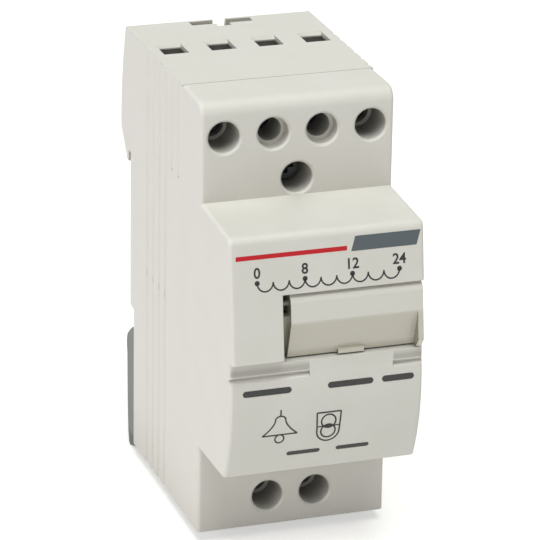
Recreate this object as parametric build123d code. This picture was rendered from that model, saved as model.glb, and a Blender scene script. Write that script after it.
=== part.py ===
from build123d import *
import os
from math import sqrt

# A bell transformer for a 35 mm mounting rail, two modules wide, in millimetres.
# X runs across the module, -Y points out of the switchboard and +Z is up.
# The origin lies on the rail seat, at the height of the rail's centre line.

# Rail
rail_height = 35.0
rail_thickness = 1.0
rail_gap = 0.25
hook_overlap = 2.0
hook_lip = 0.85
hook_depth = 6.2
hook_depth_at_top = 3.2
hook_bow_inset = 0.7
hook_bow_drop = 9.8
hook_full_rise = 8.0
hook_chin_rise = 5.2
hook_chin_inset = 0.1

# Housing
module_width = 35.8
reach_up = 41.2
reach_down = 40.9
shoulder_depth = 43.6
seam_depth = 32.3
wall = 1.6
thin_skin = 0.9
shoulder_round = 2.5
seat_drop = 12.9
rear_setback = 2.3
seat_chamfer = 0.4
seam_groove = 0.2

# Nose, the raised front
nose_top = 22.8
nose_front_top = 21.95
nose_front_bottom = -23.3
nose_bottom = -23.7
nose_depth_top = 59.9
nose_depth_mid = 62.85
nose_depth_low = 61.45
nose_depth_bottom = 58.7
nose_bulge = 1.45
nose_round = 1.5
corner_round = 0.7

# Finger grooves between the nose's upper and lower panels
groove_top = -0.5
groove_height = 2.9
groove_floor_depth = 60.7
groove_floor_drop = 3.4
groove_roll = 0.3
groove_ledge_slope = 0.6
panel_step = 0.15
left_groove_end = -3.2
right_groove_end = 12.3

# Side grooves of the rear casing
rib_first = 11.2
rib_pitch = 3.8
rib_count = 6
rib_short_count = 2
rib_cut_radius = 0.8
rib_cut_depth = 0.3
rib_short_bottom = 23.1

# Pocket and notch at the top rear edge
pocket_half_width = 5.9
pocket_front = 0.4
pocket_rear = 2.5
pocket_depth = 12.0
notch_half_width = 1.3
notch_front = -1.1
notch_depth = 3.0

# Terminals
outer_hole_web = 1.41
top_screw_drop = 6.6
bottom_screw_rise = 5.6
access_radius = 2.9
driver_bore_length = 1.5
stepped_bore_length = 6.7
driver_radius = 2.2
access_chamfer = 0.4
boss_wall = 0.7
screw_radius = 1.5
screw_head_radius = 2.5
screw_head_height = 2.4
screw_length = 15.5
screw_slot_width = 0.8
screw_slot_depth = 1.1
running_gap = 0.05
guide_gap = 0.3
cage_width = 6.0
cage_height = 8.2
cage_side = 0.8
cage_back = 1.2
cage_front = 2.4
cage_corner = 0.5
cage_travel = 3.0
smallest_wire = 1.6
cage_front_gap = 0.8
bar_width = 3.8
bar_thickness = 1.0
bar_tail = 3.4
block_floor = 2.3
wire_entry_width = 4.7
wire_entry_front = 15.0
wire_entry_funnel = 0.6

# Screw that holds the two halves together
cover_screw_rise = 3.15
cover_screw_seat = 2.8
cover_screw_head_radius = 2.5
cover_screw_head_height = 1.9
cover_screw_radius = 1.25
cover_screw_length = 13.0
inner_setback = 2.0
cross_slot_reach = 1.5
post_radius = 3.4
post_depth_left = 2.0

# Label window
window_left = -8.4
window_top = 11.25
window_bottom = -1.3
window_floor_depth = 57.3
flap_gap = 0.15
flap_left_gap = 1.45
flap_side_inset = 0.4
flap_wall = 0.8
flap_fold = 6.0
flap_foot_depth = 60.0
flap_hinge_inset = 2.0
flap_cheek = 1.0
flap_flange = 1.8
cheek_corner_height = 0.6
cheek_corner_inset = 1.2
flap_pin_radius = 0.55
flap_pin_length = 1.3
ear_gap = 0.3
ear_foot_height = 3.7
rib_inset = 1.2
rib_top = 7.0
tab_left = 2.15
tab_right = 6.97
tab_height = 0.8
tab_reach = 1.0
card_thickness = 0.3
card_side_gap = 0.6
card_gap = 1.0
card_width = 20.0
card_bottom = 5.9
card_height = 2.4

# Rail clip and its spring
clip_side_inset = 0.5
clip_back_depth = 4.1
clip_foot = 2.1
clip_travel = 3.0
clip_jaw_overlap = 1.5
clip_jaw_half_width = 12.0
clip_neck_half_width = 3.0
clip_tongue_half_width = 4.5
clip_tongue_thickness = 2.1
clip_lip_thickness = 1.6
clip_tongue_top = -20.5
clip_tongue_end = 1.0
clip_gap = 0.1
clip_guard_gap = 1.5
clip_jaw_tip = 0.5
clip_foot_inset = 2.2
clip_foot_slope = 1.3
blade_slot_half_width = 3.0
blade_slot_front = 1.1
blade_slot_rear = 0.7
blade_slot_height = 3.2
spring_radius = 1.7
spring_wire = 0.5
spring_turns = 8
spring_reserve = 3.5
spring_cap = 1.5
lug_height = 2.0

# Transformer core, bobbin and windings
core_end_room = 6.9
stack = 16.0
core_rear_depth = 10.5
core_gap = 0.05
pad_height = 9.0
bobbin_gap = 0.2
bobbin_wall = 0.8
flange_reach_x = 6.6
winding_inset = 0.9
tape_thickness = 0.3
cutout_width = 1.2
cutout_height = 6.0
cutout_length = 5.0
lead_radius = 0.55
lead_bend = 1.5
lead_gap = 0.2

# The clip's back edge: how far in front of its deepest point, and how far below its ledge
clip_back = [(0, 4.1), (0, 5.6), (0.3, 6.9), (0.55, 16.8), (1.05, 22.9), (1.55, 24.8)]
# The top of the clip's cheeks: depth behind the seat, and how far below the ledge
clip_cheek_top = [(0.05, 0.1), (2.0, 1.4), (3.7, 2.9)]

# Helpers: how far cutting shapes reach past a face, how deep a foot is sunk into its wall
over = 1.0
short_over = 0.1
sink = 0.5
near = 0.01

# Worked out from the sizes above
half_width = module_width / 2
inner_half_width = half_width - wall
# the outer access holes keep a web to the side faces, and the steps between terminals are equal
terminal_pitch = (half_width - outer_hole_web - access_radius) / 1.5
rail_top = rail_height / 2
hook_bottom = rail_top - hook_overlap
rail_slot = rail_thickness + rail_gap
top_row = reach_up - top_screw_drop
bottom_row = bottom_screw_rise - reach_down
nose_lean = (nose_depth_mid - nose_depth_top) / (nose_front_top - groove_top)
wire_space = cage_travel + smallest_wire
bar_rear = -wire_entry_front + running_gap
cage_rear = bar_rear + wire_space + cage_back
bar_front = bar_rear - bar_thickness
tip_y = bar_front - guide_gap / 2
head_rear = tip_y - screw_length
head_front = head_rear - screw_head_height
cage_front_rear_face = bar_front - cage_front_gap
cage_front_face = cage_front_rear_face - cage_front
boss_end = head_front - guide_gap
cover_screw_height = nose_top + cover_screw_rise
hinge_z = window_top - flap_gap - flap_hinge_inset
hinge_y = -(nose_depth_top + nose_lean * (nose_front_top - hinge_z)) + flap_hinge_inset
flap_left = window_left + flap_left_gap
flap_right = half_width - flap_side_inset
flap_foot_z = window_bottom + 2 * flap_gap
card_front = -(nose_depth_top + nose_lean * (nose_front_top - flap_fold)) + flap_wall + card_gap
spring_length = (spring_turns + 1) * spring_wire + clip_travel + spring_reserve
# undersides of the terminal blocks, as distances from the rail's centre line
upper_block = top_row - cage_height / 2 - guide_gap - block_floor
lower_block = -(bottom_row + cage_height / 2 + guide_gap + block_floor)
limb = (min(upper_block, lower_block) - core_end_room) / 3
core_length = 6 * limb
spine_front = -core_rear_depth - limb
limb_front = spine_front - 3 * limb
core_front = limb_front - limb
bobbin_x = stack / 2 + bobbin_gap
bobbin_z = limb + bobbin_gap
bobbin_rear = spine_front - bobbin_gap
bobbin_front = limb_front + bobbin_gap
flange_x = bobbin_x + bobbin_wall + flange_reach_x
flange_z = 2 * limb - bobbin_gap
chamber = (bobbin_rear - bobbin_front - 3 * bobbin_wall) / 2


def block(x0, x1, y0, y1, z0, z1):
    """A box between two corners."""
    middle = Pos((x0 + x1) / 2, (y0 + y1) / 2, (z0 + z1) / 2)
    return middle * Box(abs(x1 - x0), abs(y1 - y0), abs(z1 - z0))


def rod(x, z, y0, y1, radius):
    """A round bar along Y."""
    return Pos(x, (y0 + y1) / 2, z) * Rot(90, 0, 0) * Cylinder(radius, abs(y1 - y0))


def pin(x0, x1, y, z, radius):
    """A round bar along X."""
    return Pos((x0 + x1) / 2, y, z) * Rot(0, 90, 0) * Cylinder(radius, abs(x1 - x0))


def outline(*edges):
    """A side view face in the YZ plane from edges and arcs."""
    return make_face(Wire(list(edges)))


def at(y, z):
    """A point of a side view."""
    return Vector(0, y, z)


def polygon(points):
    """A side view face in the YZ plane from its corners."""
    return make_face(Polyline(*[at(y, z) for y, z in points], close=True))


def across(face, x0, x1):
    """A side view face carried along X from x0 to x1."""
    return Pos(x0, 0, 0) * extrude(face, amount=x1 - x0, dir=(1, 0, 0))


def panel_y(z):
    """Y of the nose's leaning upper panel at height z."""
    return -(nose_depth_top + nose_lean * (nose_front_top - z))


def terminals():
    """X, height and sign towards the wire entry of each terminal, four above and two below."""
    top = [(x * terminal_pitch, top_row, 1) for x in (-1.5, -0.5, 0.5, 1.5)]
    bottom = [(x * terminal_pitch, bottom_row, -1) for x in (-0.5, 0.5)]
    return top + bottom


def outer_end(side):
    """Height of the housing's end face on the terminal's side."""
    return reach_up if side > 0 else -reach_down


# Rear casing
def casing_outline():
    """Side view of the casing: hook above the rail, seat, and the setback for the clip."""
    seat_end = -seat_drop
    lip_rear = rail_slot + hook_lip
    widest = at(hook_depth, hook_bottom + hook_full_rise)
    chin = at(hook_depth - hook_chin_inset, hook_bottom + hook_chin_rise)
    return outline(
        Line(at(-seam_depth, reach_up), at(hook_depth_at_top, reach_up)),
        ThreePointArc(
            at(hook_depth_at_top, reach_up),
            at(hook_depth - hook_bow_inset, reach_up - hook_bow_drop),
            widest,
        ),
        Line(widest, chin),
        Line(chin, at(lip_rear, hook_bottom)),
        Line(at(lip_rear, hook_bottom), at(rail_slot, hook_bottom)),
        Line(at(rail_slot, hook_bottom), at(rail_slot, rail_top + clip_gap)),
        Line(at(rail_slot, rail_top + clip_gap), at(-clip_gap, rail_top + clip_gap)),
        Line(at(-clip_gap, rail_top + clip_gap), at(-clip_gap, hook_bottom - clip_gap)),
        Line(at(-clip_gap, hook_bottom - clip_gap), at(0, hook_bottom - clip_gap)),
        Line(at(0, hook_bottom - clip_gap), at(0, seat_end)),
        Line(at(0, seat_end), at(-rear_setback, seat_end - seat_chamfer)),
        Line(at(-rear_setback, seat_end - seat_chamfer), at(-rear_setback, -reach_down)),
        Line(at(-rear_setback, -reach_down), at(-seam_depth, -reach_down)),
        Line(at(-seam_depth, -reach_down), at(-seam_depth, reach_up)),
    )


def casing_cavity():
    """The room for core and windings, open towards the front cover."""
    upper = upper_block
    lower = -lower_block
    seat_inside = -wall
    low_inside = -rear_setback - wall
    front = -seam_depth - wall
    room = polygon([
        (front, upper), (seat_inside, upper), (seat_inside, -seat_drop),
        (low_inside, -seat_drop - wall), (low_inside, lower), (front, lower),
    ])
    return across(room, -inner_half_width, inner_half_width)


def terminal_pocket(x, z, side):
    """Room for one cage, open at the seam, with the slot for its bar and its wire entry."""
    half = cage_width / 2 + guide_gap
    end = outer_end(side)
    inner = z - side * (cage_height / 2 + guide_gap)
    tail = z - side * (cage_height / 2 + guide_gap + block_floor + short_over)
    front = -seam_depth - over
    pocket = block(x - half, x + half, cage_rear + guide_gap, front, inner, end - side * thin_skin)
    slot_half = bar_width / 2 + running_gap
    slot = block(x - slot_half, x + slot_half, bar_rear + running_gap, front, inner + side * over, tail)
    return pocket + slot + wire_entry(x, side)


def wire_entry(x, side):
    """A rectangular hole in the end face with a sloping rear edge."""
    end = outer_end(side)
    half = wire_entry_width / 2
    rear = cage_rear - cage_back / 2
    throat = polygon([
        (-wire_entry_front, end + side * short_over),
        (rear + wire_entry_funnel, end + side * short_over),
        (rear + wire_entry_funnel, end),
        (rear, end - side * wire_entry_funnel),
        (rear, end - side * (thin_skin + short_over)),
        (-wire_entry_front, end - side * (thin_skin + short_over)),
    ])
    return across(throat, x - half, x + half)


def side_grooves():
    """Six shallow round grooves down each side, the front two short."""
    cuts = []
    for row in range(rib_count):
        y = -(rib_first + row * rib_pitch)
        low = rib_short_bottom if row >= rib_count - rib_short_count else -reach_down - over
        high = reach_up + over
        for side in (-1, 1):
            x = side * (half_width + rib_cut_radius - rib_cut_depth)
            cuts.append(Pos(x, y, (low + high) / 2) * Cylinder(rib_cut_radius, high - low))
    return cuts


def clip_slot():
    """T slot in the rear wall for the clip's tongue, open below."""
    floor = -rear_setback - clip_lip_thickness - clip_tongue_thickness - clip_gap
    lip = -rear_setback - clip_lip_thickness + clip_gap
    top = clip_tongue_top + clip_gap
    low = -reach_down - over
    head = clip_tongue_half_width + clip_gap
    neck = clip_neck_half_width + clip_gap
    return block(-head, head, floor, lip, low, top) + block(-neck, neck, lip, over, low, top)


def spring_seat_z():
    """Top of the fixed lug that the clip spring stands on."""
    return clip_tongue_top - spring_cap - spring_length


def clip_lug():
    """The lug inside the T slot that stops the clip and carries its spring."""
    floor = -rear_setback - clip_lip_thickness - clip_tongue_thickness - clip_gap
    z = spring_seat_z()
    rear = -rear_setback - guide_gap
    return block(-spring_radius, spring_radius, floor - sink, rear, z - lug_height, z)


def rear_casing():
    """The moulded half that sits on the rail and holds the core and the terminals."""
    body = across(casing_outline(), -half_width, half_width)
    body -= casing_cavity()
    # thicker wall round the clip's slot
    boss_front = -rear_setback - clip_lip_thickness - clip_tongue_thickness - clip_gap - wall
    boss_half = clip_tongue_half_width + clip_gap + wall
    boss_top = clip_tongue_top + wall
    body += block(-boss_half, boss_half, boss_front, -rear_setback - sink, -lower_block, boss_top)
    # shelves above and below the core, and the pads behind it
    shelf_half = stack / 2 + wall
    for side, root in ((-1, -rear_setback - wall / 2), (1, -wall / 2)):
        face = side * (core_length / 2 + core_gap)
        front = -seam_depth + inner_setback
        body += block(-shelf_half, shelf_half, root, front, face, face + side * wall)
        for pad in (-1, 1):
            x = pad * stack / 4
            pad_end = -core_rear_depth + core_gap
            body += block(x - wall / 2, x + wall / 2, root, pad_end, face - side * pad_height, face)
    # post for the cover screw; it and the shelves end a little behind the seam
    post_end = -seam_depth + cover_screw_length + post_depth_left
    body += rod(0, cover_screw_height, -seam_depth + inner_setback, post_end, post_radius)
    bore = cover_screw_radius + running_gap
    body -= rod(0, cover_screw_height, -seam_depth - over, post_end - wall, bore)
    for x, z, side in terminals():
        body -= terminal_pocket(x, z, side)
    for groove in side_grooves():
        body -= groove
    body -= clip_slot()
    body += clip_lug()
    # pocket and notch at the top rear edge
    top = reach_up + over
    half = pocket_half_width
    body -= block(-half, half, pocket_front, pocket_rear, reach_up - pocket_depth, top)
    half = notch_half_width
    body -= block(-half, half, notch_front, hook_depth, reach_up - notch_depth, top)
    return body


# Front cover
def nose_arc():
    """The lower panel, bulging forward between its two ends."""
    top = at(-nose_depth_low, groove_top - groove_height)
    end = at(-nose_depth_bottom, nose_front_bottom)
    run = end - top
    middle = (top + end) * 0.5 + Vector(0, run.Z, -run.Y).normalized() * nose_bulge
    return ThreePointArc(top, middle, end)


def cover_outline():
    """Side view of the cover, from the seam round the nose and back."""
    r = shoulder_round
    k = r * (1 - sqrt(0.5))
    step = -nose_depth_low + panel_step
    return outline(
        Line(at(-seam_depth, reach_up), at(-shoulder_depth + r, reach_up)),
        ThreePointArc(
            at(-shoulder_depth + r, reach_up),
            at(-shoulder_depth + k, reach_up - k),
            at(-shoulder_depth, reach_up - r),
        ),
        Line(at(-shoulder_depth, reach_up - r), at(-shoulder_depth, nose_top)),
        Line(at(-shoulder_depth, nose_top), at(-nose_depth_top, nose_front_top)),
        Line(at(-nose_depth_top, nose_front_top), at(-nose_depth_mid, groove_top)),
        Line(at(-nose_depth_mid, groove_top), at(step, groove_top)),
        Line(at(step, groove_top), at(-nose_depth_low, groove_top - groove_height)),
        nose_arc(),
        Line(at(-nose_depth_bottom, nose_front_bottom), at(-shoulder_depth, nose_bottom)),
        Line(at(-shoulder_depth, nose_bottom), at(-shoulder_depth, -reach_down)),
        Line(at(-shoulder_depth, -reach_down), at(-seam_depth, -reach_down)),
        Line(at(-seam_depth, -reach_down), at(-seam_depth, reach_up)),
    )


def cover_cavity():
    """Rooms behind the shoulders and inside the nose, open towards the casing."""
    half = inner_half_width
    inside = -shoulder_depth + wall
    open_end = -seam_depth + over
    top = reach_up - wall
    low = -reach_down + wall
    room = block(-half, half, inside, open_end, low, top)
    roof = nose_front_top - thin_skin
    bed = nose_front_bottom + wall
    floor = -window_floor_depth + wall
    room += block(-half, half, floor, open_end, bed, roof)
    upper = -nose_depth_top + wall
    lower = -nose_depth_bottom + wall
    room += block(-half, half, upper, open_end, window_top + wall, nose_front_top - wall)
    room += block(-half, half, lower, open_end, bed, window_bottom - groove_height - wall)
    return room


def access_hole(x, z, stepped):
    """Driver hole with a chamfered mouth, narrowing so that it keeps the screw in."""
    narrow = stepped_bore_length if stepped else driver_bore_length
    mouth = -shoulder_depth
    hole = rod(x, z, mouth - over, boss_end - narrow, access_radius)
    hole += rod(x, z, mouth - over, boss_end + over, driver_radius)
    cone = Pos(x, mouth + access_chamfer / 2, z) * Rot(90, 0, 0)
    hole += cone * Cone(access_radius, access_radius + access_chamfer, access_chamfer)
    return hole


def cover_screw_seat_y():
    """Face that the cover screw's head rests on."""
    return -seam_depth - cover_screw_seat


def window():
    """The recess of the label window, open at the cover's right side."""
    front = -nose_depth_mid - 2 * over
    right = half_width + over
    return block(window_left, right, front, -window_floor_depth, window_bottom, window_top)


def on_card(y0, y1):
    """A block over the label card's outline between two depths."""
    left = flap_left + flap_cheek + card_side_gap
    return block(left, left + card_width, y0, y1, card_bottom, card_bottom + card_height)


def card_bed():
    """Raised bed that the label card lies on."""
    return on_card(card_front + card_thickness, -window_floor_depth + sink)


def hinge_ear():
    """Post on the recess floor with a round end about the hinge axis."""
    x1 = flap_right - flap_cheek - ear_gap
    x0 = x1 - flap_pin_length
    reach = flap_hinge_inset - flap_wall - flap_gap
    floor = -window_floor_depth + sink
    touch = reach * sqrt(0.5)
    stalk = polygon([
        (hinge_y - reach, hinge_z), (floor, hinge_z - ear_gap), (floor, hinge_z - ear_foot_height),
        (hinge_y - touch, hinge_z - touch),
    ])
    return across(stalk, x0, x1) + pin(x0, x1, hinge_y, hinge_z, reach)


def finger_grooves():
    """Two grooves below the window, open at the sides: the front rolls in and meets a ledge.

    The ledge falls as it comes out to the lower panel.
    """
    front = -nose_depth_mid
    floor = -groove_floor_depth
    low = groove_top - groove_floor_drop
    deep = front - 2 * over
    rim = low - groove_ledge_slope * (floor - deep)
    chord = (at(front, groove_top) + at(floor, low)) * 0.5
    roll = outline(
        Line(at(deep, groove_top), at(front, groove_top)),
        ThreePointArc(
            at(front, groove_top), chord + Vector(0, -groove_roll, -groove_roll), at(floor, low),
        ),
        Line(at(floor, low), at(deep, rim)),
        Line(at(deep, rim), at(deep, groove_top)),
    )
    ends = ((-half_width - over, left_groove_end), (right_groove_end, half_width + over))
    return [across(roll, x0, x1) for x0, x1 in ends]


def front_cover():
    """The moulded half in front: both shoulders, the nose and the tubes over the terminals."""
    face = cover_outline()
    nose_corner = face.vertices().sort_by_distance(at(-nose_depth_top, nose_front_top))[0]
    body = across(fillet(nose_corner, nose_round), -half_width, half_width)
    sides = body.edges().filter_by(lambda e: abs(e.center().X) > half_width - near)
    shoulders = [e for e in sides if abs(e.center().Y + shoulder_depth) < near]
    panels = [e for e in sides if e.center().Y < -nose_depth_bottom and e.length > 2 * groove_height]
    body = fillet(shoulders + panels, corner_round)
    body -= cover_cavity()
    # tubes round the driver holes, and the seat of the cover screw
    for x, z, side in terminals():
        body += rod(x, z, -shoulder_depth + wall / 2, boss_end, driver_radius + boss_wall)
        body += rod(x, z, -shoulder_depth + wall / 2, boss_end - driver_bore_length + boss_wall,
                    access_radius + boss_wall)
    body += rod(0, cover_screw_height, -shoulder_depth + wall / 2, -seam_depth, access_radius + boss_wall)
    for x, z, side in terminals():
        body -= access_hole(x, z, side > 0 and abs(x) < terminal_pitch)
        body -= rod(x, z, boss_end, -seam_depth + over, screw_head_radius + running_gap)
    seat = cover_screw_seat_y()
    mouth = -shoulder_depth
    body -= rod(0, cover_screw_height, mouth - over, seat, access_radius)
    cone = Pos(0, mouth + access_chamfer / 2, cover_screw_height) * Rot(90, 0, 0)
    body -= cone * Cone(access_radius, access_radius + access_chamfer, access_chamfer)
    body -= rod(0, cover_screw_height, seat - over, -seam_depth + over, cover_screw_radius + guide_gap)
    for groove in finger_grooves():
        body -= groove
    body -= window()
    body += card_bed()
    body += hinge_ear()
    # pin holes: in the window's left wall and through the ear
    pin_hole = flap_pin_radius + running_gap
    body -= pin(window_left - flap_pin_length - guide_gap, window_left + over, hinge_y, hinge_z, pin_hole)
    ear_end = flap_right - flap_cheek
    body -= pin(ear_end - ear_gap - flap_pin_length - over, ear_end, hinge_y, hinge_z, pin_hole)
    # a fine groove along the seam on top
    edge = -seam_depth - seam_groove
    right = half_width + over
    body -= block(-right, right, edge, -seam_depth + over, reach_up - seam_groove, reach_up + over)
    return body


# Label flap and card
def flap_outline(x_wall):
    """Side view of the flap's wall: rounded top, leaning upper face, lower face sloping in."""
    r = flap_hinge_inset
    s = sqrt(0.5)
    foot = flap_foot_z
    fold_y = panel_y(flap_fold)
    foot_y = -flap_foot_depth
    inner = r - x_wall
    return outline(
        ThreePointArc(
            at(hinge_y, hinge_z + r),
            at(hinge_y - r * s, hinge_z + r * s),
            at(hinge_y - r, hinge_z),
        ),
        Line(at(hinge_y - r, hinge_z), at(fold_y, flap_fold)),
        Line(at(fold_y, flap_fold), at(foot_y, foot)),
        Line(at(foot_y, foot), at(foot_y + x_wall, foot)),
        Line(at(foot_y + x_wall, foot), at(fold_y + x_wall, flap_fold)),
        Line(at(fold_y + x_wall, flap_fold), at(hinge_y - inner, hinge_z)),
        ThreePointArc(
            at(hinge_y - inner, hinge_z),
            at(hinge_y - inner * s, hinge_z + inner * s),
            at(hinge_y, hinge_z + inner),
        ),
        Line(at(hinge_y, hinge_z + inner), at(hinge_y, hinge_z + r)),
    )


def right_cheek():
    """End plate of the flap, standing proud of the sloping face."""
    low = panel_y(cheek_corner_height)
    rear = -window_floor_depth - flap_hinge_inset / 2
    plate = polygon([
        (hinge_y - flap_hinge_inset, hinge_z), (low, cheek_corner_height),
        (low + cheek_corner_inset, flap_foot_z), (rear, flap_foot_z),
        (rear, hinge_z - flap_hinge_inset), (hinge_y + flap_hinge_inset, hinge_z),
    ])
    x0 = flap_right - flap_cheek
    return across(plate, x0, flap_right) + pin(x0, flap_right, hinge_y, hinge_z, flap_hinge_inset)


def left_rib():
    """Set-back end of the flap that fills the window's left slot below the pin."""
    fold = panel_y(flap_fold) + rib_inset
    rear = -window_floor_depth - flap_hinge_inset / 2
    plate = polygon([
        (rear, rib_top), (fold, rib_top), (fold, flap_fold),
        (-flap_foot_depth + rib_inset, flap_foot_z), (rear, flap_foot_z),
    ])
    return across(plate, window_left + flap_gap, flap_left + sink)


def label_cover():
    """The hinged clear flap with its end plates, pins and lifting tab."""
    body = across(flap_outline(flap_wall), flap_left, flap_right)
    body += right_cheek() + left_rib()
    # the left end plate is a narrow flange round the pin and down the wall
    body += pin(flap_left, flap_left + flap_cheek, hinge_y, hinge_z, flap_hinge_inset)
    body += across(flap_outline(flap_flange), flap_left, flap_left + flap_cheek)
    body += pin(window_left - flap_pin_length, flap_left + sink, hinge_y, hinge_z, flap_pin_radius)
    ear_end = flap_right - flap_cheek
    body += pin(ear_end - ear_gap - flap_pin_length, ear_end + sink, hinge_y, hinge_z, flap_pin_radius)
    # lifting tab on the lower edge
    rear = -flap_foot_depth + flap_wall / 2
    top = flap_foot_z + tab_height
    body += block(tab_left, tab_right, -flap_foot_depth - tab_reach, rear, flap_foot_z, top)
    return body


def label_card():
    """The card under the flap's clear wall."""
    return on_card(card_front, card_front + card_thickness)


# Rail clip
def clip_outline(jaw):
    """Side view of the clip, with or without the jaw that takes the rail's lower edge."""
    front = -rear_setback + clip_gap
    ledge = -rail_top - clip_gap
    foot = -reach_down - clip_foot
    points = [(front, ledge)] + [(y, ledge - drop) for y, drop in clip_cheek_top]
    if jaw:
        guard = -seat_drop - clip_guard_gap
        nose = rail_slot + running_gap
        tip = ledge + clip_jaw_overlap
        points = [
            (front, guard), (-clip_gap, guard), (-clip_gap, ledge), (nose, ledge),
            (nose, tip), (nose + clip_jaw_tip, tip),
        ]
    points += [(clip_back_depth - inset, ledge - drop) for inset, drop in clip_back]
    points += [(clip_back_depth - clip_foot_inset, foot), (front, foot + clip_foot_slope)]
    return polygon(points)


def rail_clip():
    """The sliding clip: plate with jaw, and the tongue that runs in the casing's slot."""
    half = half_width - clip_side_inset
    body = across(clip_outline(False), -half, half)
    body += across(clip_outline(True), -clip_jaw_half_width, clip_jaw_half_width)
    head_rear = -rear_setback - clip_lip_thickness
    head_front = head_rear - clip_tongue_thickness
    low = -reach_down + clip_tongue_end
    neck = clip_neck_half_width
    tongue = clip_tongue_half_width
    body += block(-neck, neck, head_rear - sink, -rear_setback + clip_gap + sink, low, clip_tongue_top)
    body += block(-tongue, tongue, head_front, head_rear, low, clip_tongue_top)
    # window for the spring and the casing's lug
    seat = spring_seat_z()
    room = spring_radius + clip_gap
    sill = seat - lug_height - clip_gap
    body -= block(-room, room, head_front - over, -rear_setback - clip_gap, sill, seat + spring_length)
    # slot for the blade that pulls the clip down
    foot = -reach_down - clip_foot
    blade = blade_slot_half_width
    body -= block(-blade, blade, -blade_slot_front, blade_slot_rear, foot - over, foot + blade_slot_height)
    return body


def clip_spring():
    """A helix between the casing's lug and the top of the clip's window, with flat end rings."""
    mid_y = -rear_setback - 2 * clip_gap - spring_radius
    r = spring_radius - spring_wire / 2 - running_gap
    pitch = (spring_length - spring_wire) / spring_turns
    base = spring_seat_z() + spring_wire / 2
    path = Helix(pitch=pitch, height=pitch * spring_turns, radius=r)
    start = Plane(origin=path @ 0, z_dir=path % 0)
    coil = sweep(start * Circle(spring_wire / 2), path=path)
    return Pos(0, mid_y, base) * coil


# Terminals
def terminal_cage(x, z):
    """A box open above and below, threaded in front, that lifts the wire against the bar."""
    half = cage_width / 2
    inner = half - cage_side
    low = z - cage_height / 2
    high = z + cage_height / 2
    body = block(x - half, x + half, cage_front_face, cage_rear, low, high)
    room_rear = cage_rear - cage_back
    body -= block(x - inner, x + inner, cage_front_rear_face, room_rear, low - over, high + over)
    body -= rod(x, z, cage_front_face - over, cage_front_rear_face + over, screw_radius + running_gap)
    upright = body.edges().filter_by(Axis.Z).filter_by(
        lambda e: abs(abs(e.center().X - x) - half) < near)
    return fillet(upright, cage_corner)


def terminal_screw(x, z):
    """Slotted screw whose tip bears on the bar's front."""
    body = rod(x, z, head_rear, tip_y, screw_radius)
    head = rod(x, z, head_front, head_rear, screw_head_radius)
    reach = screw_head_radius
    half = screw_slot_width / 2
    floor = head_front + screw_slot_depth
    slot = block(x - reach, x + reach, head_front - over, floor, z - half, z + half)
    return body + (head - slot)


def terminal_bar(x, z, side):
    """A flat bar through the cage, with its tail standing into the casing for a lead."""
    outer = outer_end(side) - side * (thin_skin + guide_gap)
    inner = z - side * (cage_height / 2 + guide_gap + block_floor + bar_tail)
    return block(x - bar_width / 2, x + bar_width / 2, bar_front, bar_rear, inner, outer)


def casing_screw():
    """Cross-slotted screw through the cover into the casing's post."""
    seat = cover_screw_seat_y()
    z = cover_screw_height
    body = rod(0, z, seat, -seam_depth + cover_screw_length, cover_screw_radius)
    head = rod(0, z, seat - cover_screw_head_height, seat, cover_screw_head_radius)
    top = seat - cover_screw_head_height
    arm = cross_slot_reach
    thin = screw_slot_width / 2
    head -= block(-arm, arm, top - over, top + screw_slot_depth, z - thin, z + thin)
    head -= block(-thin, thin, top - over, top + screw_slot_depth, z - arm, z + arm)
    return body + head


# Core, bobbin and windings
def core_e_stack():
    """The E sheets: a spine, two side limbs, and a centre limb twice as wide."""
    half = stack / 2
    body = block(-half, half, spine_front, -core_rear_depth, -3 * limb, 3 * limb)
    for low, high in ((-3, -2), (-1, 1), (2, 3)):
        body += block(-half, half, limb_front, spine_front, low * limb, high * limb)
    return body


def core_i_stack():
    """The I sheets that close the core in front."""
    half = stack / 2
    return block(-half, half, core_front, limb_front, -3 * limb, 3 * limb)


def ring(x_in, x_out, z_in, z_out, y0, y1, corner):
    """A rounded frame about the centre limb, between two depths."""
    tall = Plane.XZ * RectangleRounded(2 * x_out, 2 * z_out, corner)
    body = Pos(0, y1, 0) * extrude(tall, amount=y1 - y0, dir=(0, -1, 0))
    hole = block(-x_in, x_in, y0 - over, y1 + over, -z_in, z_in)
    return body - hole


def bobbin():
    """Tube round the centre limb with three flanges, which make two chambers."""
    tube_x = bobbin_x + bobbin_wall
    tube_z = bobbin_z + bobbin_wall
    body = ring(bobbin_x, tube_x, bobbin_z, tube_z, bobbin_front, bobbin_rear, bobbin_wall / 2)
    for step in range(3):
        y0 = bobbin_front + step * (chamber + bobbin_wall)
        body += ring(bobbin_x, flange_x, bobbin_z, flange_z, y0, y0 + bobbin_wall, bobbin_wall)
    return body


def winding(chamber_index, inner_layer):
    """Copper (inner layer) or the tape round it, filling one chamber of the bobbin."""
    y0 = bobbin_front + bobbin_wall + chamber_index * (chamber + bobbin_wall)
    out_x = flange_x - winding_inset
    out_z = flange_z - winding_inset
    if inner_layer:
        return ring(bobbin_x + bobbin_wall, out_x - tape_thickness, bobbin_z + bobbin_wall,
                    out_z - tape_thickness, y0, y0 + chamber, limb / 3)
    outer = Plane.XZ * RectangleRounded(2 * out_x, 2 * out_z, limb / 3 + tape_thickness)
    hole = Plane.XZ * RectangleRounded(
        2 * (out_x - tape_thickness), 2 * (out_z - tape_thickness), limb / 3)
    return Pos(0, y0 + chamber, 0) * extrude(outer - hole, amount=chamber, dir=(0, -1, 0))


def winding_middle(chamber_index):
    """Y of the middle of one winding."""
    return bobbin_front + bobbin_wall + chamber_index * (chamber + bobbin_wall) + chamber / 2


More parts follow.
